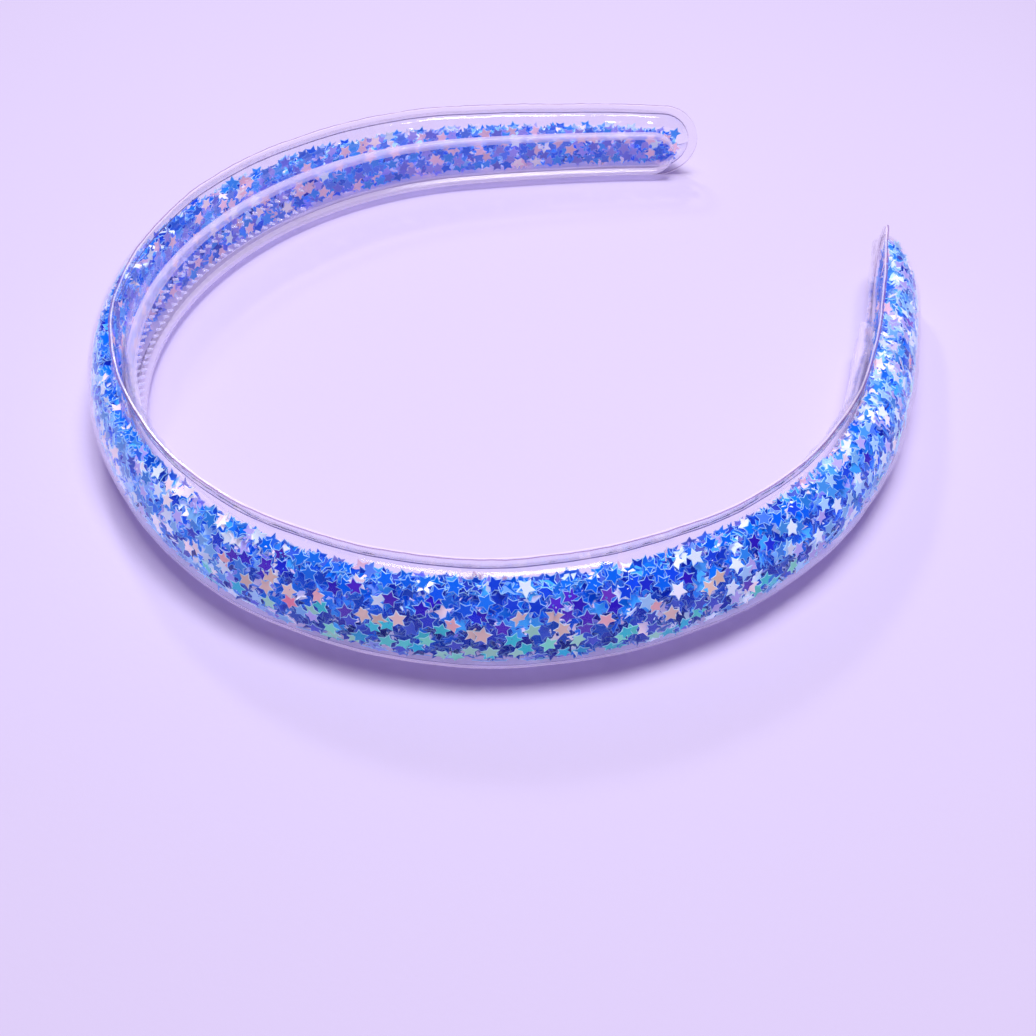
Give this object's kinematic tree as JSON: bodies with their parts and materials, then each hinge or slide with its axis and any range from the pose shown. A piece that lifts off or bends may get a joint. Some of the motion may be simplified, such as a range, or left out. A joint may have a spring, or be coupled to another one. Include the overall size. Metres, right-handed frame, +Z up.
{
  "type": "clear confetti headband",
  "caption": "Puffy clear vinyl hoop headband filled with loose blue star confetti, with a hard toothed hoop on its head side.",
  "frame": {"origin": "on the floor under the middle of the hoop's box, as it lies on its side", "axes": "+Z up from the floor, +Y from the crown towards the hoop's opening, +X to the side where the hard hoop stops shorter"},
  "size_m": [0.1434, 0.1492, 0.0217],
  "materials": {
    "clear_vinyl": "gloss",
    "clear_hard_plastic": "gloss",
    "blue_foil": "gloss"
  },
  "bodies": {
    "root": {"outer_film": "clear_vinyl", "inner_film": "clear_vinyl", "comb_band": "clear_hard_plastic", "star_confetti": "blue_foil"}
  },
  "joints": []
}
